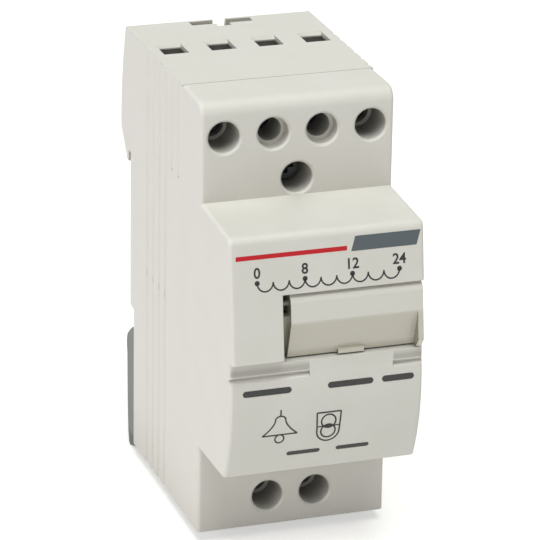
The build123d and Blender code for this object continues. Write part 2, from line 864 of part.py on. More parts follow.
def thermal_cutout():
    """Small cut-out against the primary's tape, on the right."""
    x0 = flange_x - winding_inset
    y0 = winding_middle(0)
    body = block(x0, x0 + cutout_width, y0 - cutout_length / 2, y0 + cutout_length / 2,
                 -cutout_height / 2, cutout_height / 2)
    return fillet(body.edges().filter_by(Axis.Z), cutout_width / 4)


def lead(points):
    """Insulated wire along straight runs joined by tangent arcs."""
    path = FilletPolyline(*points, radius=lead_bend)
    start = Plane(origin=path @ 0, z_dir=path % 0)
    return sweep(start * Circle(lead_radius), path=path)


def leads(side):
    """From the bobbin's flanges to the tails of the bars on one side of the core."""
    out = []
    clear_z = side * (core_length / 2 + core_gap + wall + 2 * lead_radius)
    start_z = side * (flange_z - winding_inset)
    start_y = winding_middle(1 if side > 0 else 0) + chamber / 4
    for x, z, s in terminals():
        if s != side:
            continue
        tail = z - s * (cage_height / 2 + guide_gap + block_floor)
        y = bar_front - lead_radius
        toward = -1 if x < 0 else 1
        step = round(abs(x) / terminal_pitch - 0.5) * (2 * lead_radius + lead_gap)
        start_x = toward * (stack / 2 + wall + 2 * lead_radius + step)
        out.append(lead([
            (start_x, start_y, start_z), (start_x, start_y, clear_z),
            (x, y, clear_z + s * lead_radius / 2), (x, y, tail - s * lead_gap),
        ]))
    return Compound(out)


def export(shape, name):
    export_step(shape, os.path.join("parts", name + ".step"))


os.makedirs("parts", exist_ok=True)
export(rear_casing(), "rear_casing")
export(front_cover(), "front_cover")
export(label_cover(), "label_cover")
export(label_card(), "label_card")
export(rail_clip(), "rail_clip")
export(clip_spring(), "clip_spring")
export(casing_screw(), "casing_screw")
for number, (x, z, side) in enumerate(terminals(), start=1):
    export(terminal_cage(x, z), f"terminal_cage_{number}")
    export(terminal_screw(x, z), f"terminal_screw_{number}")
    export(terminal_bar(x, z, side), f"terminal_bar_{number}")
export(core_e_stack(), "core_e_stack")
export(core_i_stack(), "core_i_stack")
export(bobbin(), "bobbin")
export(winding(0, True), "primary_winding")
export(winding(1, True), "secondary_winding")
export(winding(0, False), "primary_tape")
export(winding(1, False), "secondary_tape")
export(thermal_cutout(), "thermal_cutout")
export(leads(1), "secondary_leads")
export(leads(-1), "primary_leads")
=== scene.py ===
import logging
import math
from dataclasses import dataclass
from enum import Enum
from functools import cache
from typing import Any, Callable, Iterable

import bpy
import numpy as np
from mathutils import Matrix, Vector


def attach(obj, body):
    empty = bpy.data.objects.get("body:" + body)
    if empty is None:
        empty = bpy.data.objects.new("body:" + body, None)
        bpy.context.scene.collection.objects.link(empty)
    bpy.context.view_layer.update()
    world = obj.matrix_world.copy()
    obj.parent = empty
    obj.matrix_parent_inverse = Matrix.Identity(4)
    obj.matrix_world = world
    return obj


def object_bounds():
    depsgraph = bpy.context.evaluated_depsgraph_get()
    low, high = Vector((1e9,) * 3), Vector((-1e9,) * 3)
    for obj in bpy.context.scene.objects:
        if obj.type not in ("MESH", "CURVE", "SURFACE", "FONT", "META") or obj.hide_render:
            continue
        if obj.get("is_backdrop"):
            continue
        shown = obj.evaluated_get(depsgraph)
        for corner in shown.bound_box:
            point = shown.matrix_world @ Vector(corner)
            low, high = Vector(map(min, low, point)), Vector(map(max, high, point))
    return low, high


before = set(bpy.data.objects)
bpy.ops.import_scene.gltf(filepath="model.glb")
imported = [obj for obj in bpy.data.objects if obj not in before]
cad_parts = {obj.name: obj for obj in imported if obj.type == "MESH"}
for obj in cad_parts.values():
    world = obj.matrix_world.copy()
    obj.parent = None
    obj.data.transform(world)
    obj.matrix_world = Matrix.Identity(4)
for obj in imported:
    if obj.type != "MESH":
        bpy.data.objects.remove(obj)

LOG = logging.getLogger("rail_transformer")
MM = 0.001
NEAR_SAMPLES = 6
Colour = tuple[float, float, float, float]
Span = tuple[float, float]
Tree = bpy.types.NodeTree
Socket = bpy.types.NodeSocket


def linear(code: str) -> Colour:
    """Turns an sRGB hex colour into linear light.

    Args:
        code: Six hex digits, such as "e3e1da".

    Returns:
        Linear red, green, blue and an alpha of one.
    """
    parts = np.array([int(code[i:i + 2], 16) for i in (0, 2, 4)]) / 255.0
    flat = np.where(parts <= 0.04045, parts / 12.92, ((parts + 0.055) / 1.055) ** 2.4)
    return float(flat[0]), float(flat[1]), float(flat[2]), 1.0


def per_metre(size_mm: float) -> float:
    """Scale of a texture whose features are size_mm across."""
    return 1.0 / (size_mm * MM)


def add(tree: Tree, kind: str, inputs: dict[Any, Any] | None = None, **settings: Any) -> bpy.types.Node:
    """Adds one shader node with its settings, values and links.

    Args:
        tree: Node tree that gets the node.
        kind: Node type without its "ShaderNode" beginning.
        inputs: Input name or index to a value, or to the output socket that feeds it.
        settings: Options of the node itself.

    Returns:
        The new node.
    """
    node = tree.nodes.new("ShaderNode" + kind)
    for key, value in settings.items():
        setattr(node, key, value)
    for key, value in (inputs or {}).items():
        if isinstance(value, Socket):
            tree.links.new(value, node.inputs[key])
        else:
            node.inputs[key].default_value = value
    return node


def new_tree(name: str) -> tuple[bpy.types.Material, Tree]:
    """Makes an empty material.

    Args:
        name: The real material's name.

    Returns:
        The material and its node tree, with no nodes in it.
    """
    material = bpy.data.materials.new(name)
    material.use_nodes = True
    material.node_tree.nodes.clear()
    return material, material.node_tree


def close_tree(tree: Tree, shader: bpy.types.Node) -> None:
    """Joins a shader to the material's output.

    Args:
        tree: Node tree of the material.
        shader: Node whose first output is the surface.
    """
    add(tree, "OutputMaterial", {"Surface": shader.outputs[0]})


def reckon(tree: Tree, operation: str, *values: Any, clamp: bool = False) -> Socket:
    """Adds one step of arithmetic.

    Args:
        tree: Node tree of the material.
        operation: Name of the step, such as "MULTIPLY".
        values: Numbers or sockets that it works on.
        clamp: Whether the result is held between 0 and 1.

    Returns:
        Socket of the result.
    """
    return add(tree, "Math", dict(enumerate(values)), operation=operation, use_clamp=clamp).outputs[0]


def share(tree: Tree, value: Socket, span: Span, ends: tuple[Any, Any], smooth: bool = False) -> Socket:
    """Maps a span of a value to two end values, and holds them outside it.

    Args:
        tree: Node tree of the material.
        value: Socket of the value.
        span: Where the value starts and stops counting.
        ends: Results at those two places, as numbers or sockets.
        smooth: Whether the change eases in and out, and isn't even.

    Returns:
        Socket of the result.
    """
    kind = "SMOOTHSTEP" if smooth else "LINEAR"
    return add(tree, "MapRange", {"Value": value, "From Min": span[0], "From Max": span[1],
                                  "To Min": ends[0], "To Max": ends[1]}, interpolation_type=kind).outputs[0]


def noise(tree: Tree, place: Socket, size_mm: float, detail: float, harshness: float = 0.5) -> Socket:
    """Adds a soft noise.

    Args:
        tree: Node tree of the material.
        place: Socket of the place on the part.
        size_mm: Size of the noise's features.
        detail: How many finer layers lie on it.
        harshness: How strong the finer layers are.

    Returns:
        Socket of the noise, about 0 to 1.
    """
    return add(tree, "TexNoise", {"Vector": place, "Scale": per_metre(size_mm), "Detail": detail,
                                  "Roughness": harshness}).outputs["Fac"]


def mix(tree: Tree, factor: Socket, first: str | Socket, second: str) -> Socket:
    """Mixes two colours.

    Args:
        tree: Node tree of the material.
        factor: Socket of the second colour's share.
        first: Hex digits or socket of the first colour.
        second: Hex digits of the second colour.

    Returns:
        Socket of the mixed colour.
    """
    # inputs 6 and 7 of this node are its two colours, and output 2 is the mixed one
    start = linear(first) if isinstance(first, str) else first
    return add(tree, "Mix", {"Factor": factor, 6: start, 7: linear(second)}, data_type="RGBA").outputs[2]


def stretched(tree: Tree, place: Socket, scale: tuple[float, float, float]) -> Socket:
    """Place scaled along each axis, so that a noise is drawn out where the scale is small."""
    return add(tree, "Mapping", {"Vector": place, "Scale": scale}).outputs[0]


def lifted(tree: Tree, height: Socket, strength: float, depth_mm: float, edge_mm: float = 0.0) -> Socket:
    """Normal of a surface that a height lifts a little, with its edges rounded.

    Args:
        tree: Node tree of the material.
        height: Socket of the height, about 0 to 1.
        strength: How much of the lift shows.
        depth_mm: How high a height of one is.
        edge_mm: Radius of the edges, or zero to leave them sharp.

    Returns:
        Socket of the normal.
    """
    inputs = {"Height": height, "Strength": strength, "Distance": depth_mm * MM}
    if edge_mm:
        inputs["Normal"] = add(tree, "Bevel", {"Radius": edge_mm * MM}, samples=NEAR_SAMPLES).outputs[0]
    return add(tree, "Bump", inputs).outputs[0]


def paint_shade(tree: Tree, colour: Socket, reach_mm: float, level: Span, shade: str,
         most: float | Socket) -> Socket:
    """Paints shade: takes a colour towards a darker one where surfaces close by hem the point in.

    Args:
        tree: Node tree of the material.
        colour: Socket of the colour in the open.
        reach_mm: How far surfaces count as close by.
        level: Openness, from 0 to 1, at which the darker colour is full and at which it ends.
        shade: The colour of the painted shade, as hex digits.
        most: Share of the darker colour where it is full, one for all or by place.

    Returns:
        Socket of the mixed colour.
    """
    near = add(tree, "AmbientOcclusion", {"Distance": reach_mm * MM}, samples=NEAR_SAMPLES).outputs["AO"]
    return mix(tree, share(tree, near, level, (most, 0.0), smooth=True), colour, shade)


def looked_at(tree: Tree, kinds: tuple[str, ...]) -> Socket:
    """Finds whether a ray of one of some kinds meets the surface.

    Args:
        tree: Node tree of the material or of the world.
        kinds: Kinds of ray, such as "Is Camera Ray".

    Returns:
        Socket that is one for such a ray and zero for any other.
    """
    rays = add(tree, "LightPath").outputs
    seen = rays[kinds[0]]
    for kind in kinds[1:]:
        seen = reckon(tree, "MAXIMUM", seen, rays[kind])
    return seen


@dataclass(frozen=True)
class MouldedPlastic:
    """Matt moulded plastic: faint clouding, spark-eroded grain, soft edges, painted shade in recesses."""

    name: str
    colour: str
    cloud: str
    # painted shade colour for side grooves and recesses
    painted_recess_shade: str
    roughness: float = 0.5
    roughness_spread: float = 0.05
    cloud_mm: float = 9.0
    cloud_span: Span = (0.35, 0.7)
    sheen_span: Span = (0.3, 0.7)
    grain_mm: float = 0.35
    grain_depth_mm: float = 0.012
    grain_strength: float = 0.6
    edge_mm: float = 0.16
    side_facing: Span = (0.45, 0.8)
    side_most: float = 0.8
    up_facing: Span = (0.1, 0.5)
    groove_reach_mm: float = 0.7
    groove_level: Span = (0.45, 1.0)
    recess_reach_mm: float = 2.5
    recess_level: Span = (0.15, 0.85)
    # painted shade colour for faces that look down in recesses, under a roll
    under: str = "85827a"
    under_reach_mm: float = 4.0
    under_level: Span = (0.35, 0.95)
    under_facing: Span = (-0.5, -0.15)
    # painted shade colour for wide corners
    corner: str = "cdcac3"
    corner_reach_mm: float = 18.0
    corner_level: Span = (0.4, 0.95)
    # painted shade colour for the walls of holes
    painted_well_shade: str = "7d7e77"
    well_reach_mm: float = 9.0
    well_level: Span = (0.02, 0.3)
    well_facing: Span = (-0.9, -0.5)
    well_shares: Span = (0.3, 1.0)
    # painted shade colour for the front in the finger grooves, placed by height and place across
    painted_grip_shade: str = "bab8b3"
    grip_rows_mm: tuple[float, float, float, float] = (-3.2, -3.0, -2.4, -1.2)
    grip_ends_mm: Span = (-3.3, 12.4)
    grip_fade_mm: float = 0.1
    grip_facing: Span = (-0.8, -0.5)

    def material(self) -> bpy.types.Material:
        """Builds the material.

        Colour is the plain colour mixed with the cloud colour by soft noise. Then shade is painted into it
        where the mould hems it in: in grooves of the sides, in recesses that don't look up, most of all
        under a roll, a little in wide corners, on the walls of holes, and, by place, in the finger grooves.
        The normal is rounded at edges and roughened by a noise as fine as the mould's grain.

        Returns:
            The finished material.
        """
        material, tree = new_tree(self.name)
        place = add(tree, "TexCoord").outputs["Object"]
        cloud = noise(tree, place, self.cloud_mm, detail=3.0)
        colour_and_shade = mix(tree, share(tree, cloud, self.cloud_span, (0.0, 1.0)), self.colour, self.cloud)
        facing = add(tree, "SeparateXYZ", {"Vector": add(tree, "TexCoord").outputs["Normal"]}).outputs
        # masks by facing for the painted shade: side grooves, faces that don't look up, faces that look
        # down, walls of holes
        across = reckon(tree, "ABSOLUTE", facing["X"])
        sideways = share(tree, across, self.side_facing, (0.0, self.side_most))
        not_up = share(tree, facing["Z"], self.up_facing, (1.0, 0.0))
        downward = share(tree, facing["Z"], self.under_facing, (1.0, 0.0))
        walls = share(tree, facing["Y"], self.well_facing, self.well_shares)
        # painted shade, stage by stage: reach, openness level, shade colour and the faces it goes on
        hollows = (
            (self.groove_reach_mm, self.groove_level, self.painted_recess_shade, sideways),
            (self.recess_reach_mm, self.recess_level, self.painted_recess_shade, not_up),
            (self.under_reach_mm, self.under_level, self.under, downward),
            (self.corner_reach_mm, self.corner_level, self.corner, not_up),
            (self.well_reach_mm, self.well_level, self.painted_well_shade, walls),
        )
        for reach_mm, level, shade, most in hollows:
            colour_and_shade = paint_shade(tree, colour_and_shade, reach_mm, level, shade, most)
        colour_and_shade = self.in_grips(tree, place, facing["Y"], colour_and_shade)
        grain = noise(tree, place, self.grain_mm, detail=2.0)
        spread = (self.roughness - self.roughness_spread, self.roughness + self.roughness_spread)
        shader = add(tree, "BsdfPrincipled", {
            "Base Color": colour_and_shade, "Roughness": share(tree, cloud, self.sheen_span, spread), "IOR": 1.5,
            "Normal": lifted(tree, grain, self.grain_strength, self.grain_depth_mm, self.edge_mm)})
        close_tree(tree, shader)
        return material

    def in_grips(self, tree: Tree, place: Socket, facing: Socket, colour: Socket) -> Socket:
        """Shades the front inside the two finger grooves, more towards their lower end.

        It goes by height, place across and facing alone, so what faces the front behind the grooves,
        inside the housing, is shaded too.

        Args:
            tree: Node tree of the material.
            place: Socket of the place on the part.
            facing: Socket of the normal's share from front to back.
            colour: Socket of the colour so far.

        Returns:
            Socket of the shaded colour.
        """
        axes = add(tree, "SeparateXYZ", {"Vector": place}).outputs
        end, full_low, full_high, start = (row * MM for row in self.grip_rows_mm)
        left, right = (x * MM for x in self.grip_ends_mm)
        fade = self.grip_fade_mm * MM
        in_left = share(tree, axes["X"], (left, left + fade), (1.0, 0.0))
        in_right = share(tree, axes["X"], (right - fade, right), (0.0, 1.0))
        here = reckon(tree, "ADD", in_left, in_right)
        for factor in (
            share(tree, axes["Z"], (full_high, start), (1.0, 0.0)),
            share(tree, axes["Z"], (end, full_low), (0.0, 1.0)),
            share(tree, facing, self.grip_facing, (1.0, 0.0)),
        ):
            here = reckon(tree, "MULTIPLY", here, factor)
        return mix(tree, here, colour, self.painted_grip_shade)


@dataclass(frozen=True)
class ClipPlastic:
    """Dark filled nylon of the clip: greasy grey with a nearly black foot."""

    name: str = "glass_filled_nylon"
    colour: str = "565a56"
    rubbed: str = "636763"
    foot: str = "242625"
    foot_rows_mm: Span = (-41.2, -39.2)
    streak_mm: float = 1.6
    streak_stretch: tuple[float, float, float] = (1.0, 1.0, 0.25)
    fibre_mm: float = 0.3
    fibre_depth_mm: float = 0.01
    edge_mm: float = 0.25
    roughness: Span = (0.36, 0.5)

    def material(self) -> bpy.types.Material:
        """Builds the material: grey with rubbed streaks that fades to the foot's colour going down.

        Returns:
            The finished material.
        """
        material, tree = new_tree(self.name)
        place = add(tree, "TexCoord").outputs["Object"]
        streak = noise(tree, stretched(tree, place, self.streak_stretch), self.streak_mm, detail=4.0)
        base = mix(tree, streak, self.colour, self.rubbed)
        height = add(tree, "SeparateXYZ", {"Vector": place}).outputs["Z"]
        low, top = (row * MM for row in self.foot_rows_mm)
        colour = mix(tree, share(tree, height, (low, top), (1.0, 0.0), smooth=True), base, self.foot)
        fibre = noise(tree, place, self.fibre_mm, detail=2.0)
        shader = add(tree, "BsdfPrincipled", {
            "Base Color": colour, "Roughness": share(tree, streak, (0.0, 1.0), self.roughness), "IOR": 1.53,
            "Normal": lifted(tree, fibre, 0.5, self.fibre_depth_mm, self.edge_mm)})
        close_tree(tree, shader)
        return material


@dataclass(frozen=True)
class FlapPlastic:
    """Clear polycarbonate over a pale card: milky above, where the card is, greyer below."""

    name: str = "clear_polycarbonate"
    over_card: str = "e6e4de"
    below_card: str = "d6d2c6"
    slot_shade_and_depth: str = "8f8b7a"
    end_facing: Span = (-0.9, -0.5)
    rib_end_mm: float = -6.96
    rib_fade_mm: float = 0.02
    card_edge_mm: float = 5.9
    blend_mm: float = 0.5
    flow_mm: float = 3.0
    flow_stretch: tuple[float, float, float] = (0.2, 1.0, 1.0)
    flow_depth_mm: float = 0.03
    edge_mm: float = 0.18
    roughness: Span = (0.16, 0.3)

    def material(self) -> bpy.types.Material:
        """Builds the material.

        The colour steps at the card's lower edge, and goes darker on the rib and the end that face into
        the slot: painted shade of the slot together with the clear sheet's depth. The mould leaves flow
        lines.

        Returns:
            The finished material.
        """
        material, tree = new_tree(self.name)
        place = add(tree, "TexCoord").outputs["Object"]
        axes = add(tree, "SeparateXYZ", {"Vector": place}).outputs
        edge = ((self.card_edge_mm - self.blend_mm) * MM, (self.card_edge_mm + self.blend_mm) * MM)
        step = share(tree, axes["Z"], edge, (0.0, 1.0), smooth=True)
        base = mix(tree, step, self.below_card, self.over_card)
        facing = add(tree, "SeparateXYZ", {"Vector": add(tree, "TexCoord").outputs["Normal"]}).outputs
        # painted shade of the slot, with the clear sheet's depth, on the rib and the end facing into it
        end = share(tree, facing["X"], self.end_facing, (1.0, 0.0))
        rib_span = ((self.rib_end_mm - self.rib_fade_mm) * MM, self.rib_end_mm * MM)
        rib = share(tree, axes["X"], rib_span, (1.0, 0.0))
        base = mix(tree, reckon(tree, "MAXIMUM", end, rib), base, self.slot_shade_and_depth)
        flow = noise(tree, stretched(tree, place, self.flow_stretch), self.flow_mm, detail=3.0)
        shader = add(tree, "BsdfPrincipled", {
            "Base Color": base, "Roughness": share(tree, flow, (0.0, 1.0), self.roughness), "IOR": 1.58,
            "Transmission Weight": 0.1, "Coat Weight": 0.3, "Coat Roughness": 0.12,
            "Normal": lifted(tree, flow, 0.4, self.flow_depth_mm, self.edge_mm)})
        close_tree(tree, shader)
        return material


@dataclass(frozen=True)
class PlatedMetal:
    """Plated or rolled metal: fine drawn lines along one axis and uneven polish."""

    name: str
    colour: str
    stain: str
    roughness: float = 0.32
    smoother: float = 0.08
    rougher: float = 0.1
    stain_mm: float = 2.2
    line_mm: float = 0.15
    line_depth_mm: float = 0.008
    stretch: tuple[float, float, float] = (1.0, 0.06, 1.0)
    edge_mm: float = 0.12
    # painted shade on metal deep in holes: its colour, reach, openness level and share
    painted_well_shade: str = "3c3e3c"
    well_reach_mm: float = 8.0
    well_level: Span = (0.1, 0.55)
    well_most: float = 0.9

    def material(self) -> bpy.types.Material:
        """Builds the material.

        Noise stretched along the drawing direction gives lines and stains, and shade is painted on
        metal deep in a hole.

        Returns:
            The finished material.
        """
        material, tree = new_tree(self.name)
        place = add(tree, "TexCoord").outputs["Object"]
        lines = noise(tree, stretched(tree, place, self.stretch), self.line_mm, detail=3.0)
        patches = noise(tree, place, self.stain_mm, detail=4.0)
        base = mix(tree, patches, self.colour, self.stain)
        # painted shade deep in holes
        colour_and_shade = paint_shade(tree, base, self.well_reach_mm, self.well_level, self.painted_well_shade, self.well_most)
        spread = (self.roughness - self.smoother, self.roughness + self.rougher)
        shader = add(tree, "BsdfPrincipled", {
            "Base Color": colour_and_shade, "Metallic": 1.0, "Roughness": share(tree, patches, (0.0, 1.0), spread),
            "Normal": lifted(tree, lines, 0.5, self.line_depth_mm, self.edge_mm)})
        close_tree(tree, shader)
        return material


class Axis(Enum):
    """Direction that the layers of a stacked or wound piece follow one another in."""

    ACROSS = "X"
    DEEP = "Y"


@dataclass(frozen=True)
class Layered:
    """Sheets of a core or turns of a winding: even bands with a dark line between neighbours."""

    name: str
    colour: str
    gap_colour: str
    pitch_mm: float
    axis: Axis
    metallic: float
    roughness: float
    relief_mm: float
    roughness_spread: float = 0.08
    tone_mm: float = 1.4
    tone_most: float = 0.35
    valley: float = 0.45

    def material(self) -> bpy.types.Material:
        """Builds the material.

        Height over one pitch is the absolute sine of the position along the axis, which is a
        round back with a sharp valley. The valley takes the gap colour.

        Returns:
            The finished material.
        """
        material, tree = new_tree(self.name)
        place = add(tree, "TexCoord").outputs["Object"]
        along = add(tree, "SeparateXYZ", {"Vector": place}).outputs[self.axis.value]
        turn = reckon(tree, "MULTIPLY", along, math.pi * per_metre(self.pitch_mm))
        back = reckon(tree, "ABSOLUTE", reckon(tree, "SINE", turn))
        tone = noise(tree, place, self.tone_mm, detail=3.0)
        level = share(tree, back, (0.0, self.valley), (0.0, 1.0))
        mixed = reckon(tree, "MULTIPLY_ADD", level, tone, self.tone_most, clamp=True)
        spread = (self.roughness - self.roughness_spread, self.roughness + self.roughness_spread)
        shader = add(tree, "BsdfPrincipled", {
            "Base Color": mix(tree, mixed, self.gap_colour, self.colour), "Metallic": self.metallic,
            "Roughness": share(tree, tone, (0.0, 1.0), spread),
            "Normal": lifted(tree, back, 0.8, self.relief_mm)})
        close_tree(tree, shader)
        return material


@dataclass(frozen=True)
class SoftSkin:
    """Tape, wire insulation, ink or card: fine fibres or wrinkles in two near colours."""

    name: str
    colour: str
    second: str
    roughness: float
    pattern_mm: float
    relief_mm: float
    stretch: tuple[float, float, float] = (1.0, 1.0, 1.0)
    coat: float = 0.0
    roughness_spread: float = 0.06

    def material(self) -> bpy.types.Material:
        """Builds the material: stretched noise mixes the two colours and lifts the surface.

        Returns:
            The finished material.
        """
        material, tree = new_tree(self.name)
        place = add(tree, "TexCoord").outputs["Object"]
        fibre = noise(tree, stretched(tree, place, self.stretch), self.pattern_mm, detail=5.0, harshness=0.6)
        spread = (self.roughness - self.roughness_spread, self.roughness + self.roughness_spread)
        shader = add(tree, "BsdfPrincipled", {
            "Base Color": mix(tree, fibre, self.colour, self.second),
            "Roughness": share(tree, fibre, (0.0, 1.0), spread), "Coat Weight": self.coat,
            "Normal": lifted(tree, fibre, 0.5, self.relief_mm)})
        close_tree(tree, shader)
        return material


@dataclass(frozen=True)
class FloorSheet:
    """White card under the part: shows white to the camera, and keeps the part's shadow."""

    name: str = "white_card_floor"
    colour: str = "f0f0ee"
    seen_strength: float = 0.5

    def material(self) -> bpy.types.Material:
        """Builds the material: matt card, with some white light added where it is seen or mirrored.

        Returns:
            The finished material.
        """
        material, tree = new_tree(self.name)
        seen = looked_at(tree, ("Is Camera Ray", "Is Glossy Ray", "Is Transmission Ray"))
        card = add(tree, "BsdfDiffuse", {"Color": linear(self.colour)})
        glow = add(tree, "Emission", {"Color": linear("ffffff"),
                                      "Strength": reckon(tree, "MULTIPLY", seen, self.seen_strength)})
        close_tree(tree, add(tree, "AddShader", {0: card.outputs[0], 1: glow.outputs[0]}))
        return material


# The housing is moulded in pale grey polyamide with a matt, spark-eroded mould surface: it scatters
# light evenly, so edges and recesses show only as soft steps of grey, deepened by painted shade.
# In this and the next two finishes the third colour is the painted shade of grooves and recesses.
HOUSING = MouldedPlastic("moulded_polyamide", "dfddd9", "e3e1de", "b9b6ae")
# Nylon for the bobbin is left its natural milky colour and looks a little waxy.
BOBBIN = MouldedPlastic("natural_nylon", "dcd6c2", "e4dfcf", "b4ab92", roughness=0.42)
# The thermal cut-out is a small black moulded block.
CUTOUT = MouldedPlastic("black_phenolic", "2a2a2b", "343435", "18181a", roughness=0.4)
# The clip's filled nylon is rubbed and a little greasy, with a foot that looks nearly black.
CLIP = ClipPlastic()
# The clear flap shows the pale card through it above, its own depth below, and at its end its depth with
# painted shade.
FLAP = FlapPlastic()
# The label is plain white card, with fibres that only show close up.
CARD = SoftSkin("label_card_stock", "dfddd5", "d3d0c6", 0.85, 0.4, 0.01)
# Zinc plating over turned or pressed steel is a dull blue-grey with drawn lines.
ZINC = PlatedMetal("zinc_plated_steel", "a9abac", "8f9294")
# Spring wire is drawn and darkened by its heat treatment.
SPRING = PlatedMetal("drawn_spring_steel", "8b8a86", "6f6c66", roughness=0.28)
# Terminal bars are rolled brass with a thin coat of tin.
TINNED = PlatedMetal("tinned_brass", "cfc39b", "b8ab84", stretch=(1.0, 1.0, 0.06))
# Core sheets are punched silicon steel, with a varnish that fills the joints between them.
CORE = Layered("varnished_silicon_steel", "6d6f72", "2e2a26", 0.5, Axis.ACROSS, 0.85, 0.42, 0.05)
# Windings are enamelled copper wire: reddish, glossy, in close turns.
PRIMARY_WIRE = Layered("fine_enamelled_copper", "b4683a", "5a2a14", 0.3, Axis.DEEP, 0.9, 0.3, 0.06)
SECONDARY_WIRE = Layered("stout_enamelled_copper", "bd7040", "5e2d16", 0.8, Axis.DEEP, 0.9, 0.28, 0.15)
# Polyester tape is yellow film with a glossy face and slight wrinkles along its wrap.
TAPE = SoftSkin("polyester_tape", "d9b23a", "c99f2b", 0.25, 2.5, 0.03, stretch=(1.0, 0.3, 1.0), coat=0.4)
# Lead insulation is smooth vinyl, blue to the mains side and white to the low-voltage side.
BLUE_LEAD = SoftSkin("blue_vinyl_insulation", "2f4f8f", "3b5c9c", 0.4, 0.8, 0.005)
WHITE_LEAD = SoftSkin("white_vinyl_insulation", "d8d6cf", "cbc8bf", 0.4, 0.8, 0.005)
# Pad-printed ink, in four colours, lies on the plastic as a thin, slightly uneven film.
BLACK_INK = SoftSkin("black_printing_ink", "1f1f21", "29292b", 0.55, 0.25, 0.002)
GREY_INK = SoftSkin("grey_printing_ink", "323233", "3c3c3d", 0.55, 0.25, 0.002)
SLATE_INK = SoftSkin("slate_printing_ink", "525b63", "5b646b", 0.55, 0.25, 0.002)
RED_INK = SoftSkin("red_printing_ink", "cb001a", "bf021a", 0.5, 0.25, 0.002)
Finish = MouldedPlastic | ClipPlastic | FlapPlastic | PlatedMetal | Layered | SoftSkin


@cache
def material_of(finish: Finish) -> bpy.types.Material:
    """Builds each finish's material once."""
    return finish.material()


def dress(nodes: Iterable[str], finish: Finish) -> None:
    """Gives CAD nodes one finish.

    Args:
        nodes: Names of the nodes.
        finish: The finish that all of them get.
    """
    material = material_of(finish)
    for name in nodes:
        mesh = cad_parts[name].data
        mesh.materials.clear()
        mesh.materials.append(material)
        LOG.info("dressed %s in %s", name, material.name)


def sheet_faces(rows: int, columns: int) -> np.ndarray:
    """Quads of a grid of points.

    Point (i, j) has number i * columns + j, and each quad runs (i, j), (i+1, j), (i+1, j+1), (i, j+1).

    Args:
        rows: Number of points along the first parameter.
        columns: Number of points along the second parameter.

    Returns:
        Array of four point numbers for each quad.
    """
    first = (np.arange(rows - 1)[:, None] * columns + np.arange(columns - 1)[None, :]).ravel()
    return np.stack([first, first + columns, first + columns + 1, first + 1], axis=1)


def join_parts(parts: list[tuple[np.ndarray, np.ndarray]]) -> tuple[np.ndarray, np.ndarray]:
    """Puts several point and face arrays into one pair, with the faces renumbered.

    Args:
        parts: Pairs of points (n, 3) and quads (m, 4).

    Returns:
        All points and all quads.
    """
    counts = np.cumsum([0] + [len(points) for points, _ in parts[:-1]])
    points = np.concatenate([points for points, _ in parts])
    faces = np.concatenate([quads + start for (_, quads), start in zip(parts, counts)])
    return points, faces


def make_piece(name: str, points: np.ndarray, faces: Any, finish: Finish,
               thickness: float) -> bpy.types.Object:
    """Makes a thin piece on the housing from its outer face.

    Args:
        name: Name of the piece.
        points: Points (n, 3) in metres.
        faces: Lists of point numbers, anticlockwise seen from outside.
        finish: The finish that it gets.
        thickness: Thickness of the film behind that face, in metres.

    Returns:
        The finished piece.
    """
    mesh = bpy.data.meshes.new(name)
    quads = faces.tolist() if isinstance(faces, np.ndarray) else faces
    mesh.from_pydata(points.tolist(), [], quads)
    mesh.materials.append(material_of(finish))
    piece = bpy.data.objects.new(name, mesh)
    bpy.context.scene.collection.objects.link(piece)
    solid = piece.modifiers.new("film", "SOLIDIFY")
    solid.thickness = thickness
    solid.offset = -1.0
    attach(piece, "housing")
    LOG.info("built %s with %d faces", name, len(quads))
    return piece


@dataclass
class NoseFace:
    """The nose's front: a leaning flat upper panel and a bulging lower one, in millimetres."""

    top_z: float = 21.95
    top_depth: float = 59.9
    step_z: float = -0.5
    step_depth: float = 62.85
    lower_top: tuple[float, float] = (-61.45, -3.4)
    lower_end: tuple[float, float] = (-58.7, -23.3)
    bulge: float = 1.45
    lift: float = 0.02

    def upper(self, x: np.ndarray, z: np.ndarray) -> np.ndarray:
        """Places points on the upper panel: depth grows evenly from its top edge to its lower edge.

        Args:
            x: Places across, in millimetres.
            z: Heights, in millimetres.

        Returns:
            Points in metres, lifted off the panel by the print's lift.
        """
        lean = (self.step_depth - self.top_depth) / (self.top_z - self.step_z)
        y = -(self.top_depth + lean * (self.top_z - z)) - self.lift
        return np.stack([x, y, z], axis=-1) * MM

    def lower(self, x: np.ndarray, z: np.ndarray) -> np.ndarray:
        """Places points on the lower panel: a circular arc through its two ends and its bulge.

        Args:
            x: Places across, in millimetres.
            z: Heights, in millimetres.

        Returns:
            Points in metres, lifted off the panel by the print's lift.
        """
        top, end = np.array(self.lower_top), np.array(self.lower_end)
        run = end - top
        length = float(np.hypot(*run))
        outward = np.array([run[1], -run[0]]) / length
        radius = (length ** 2 / 4 + self.bulge ** 2) / (2 * self.bulge)
        centre = (top + end) / 2 + outward * (self.bulge - radius)
        y = centre[0] - np.sqrt(radius ** 2 - (z - centre[1]) ** 2) - self.lift
        return np.stack([x, y, z], axis=-1) * MM


Panel = Callable[[np.ndarray, np.ndarray], np.ndarray]


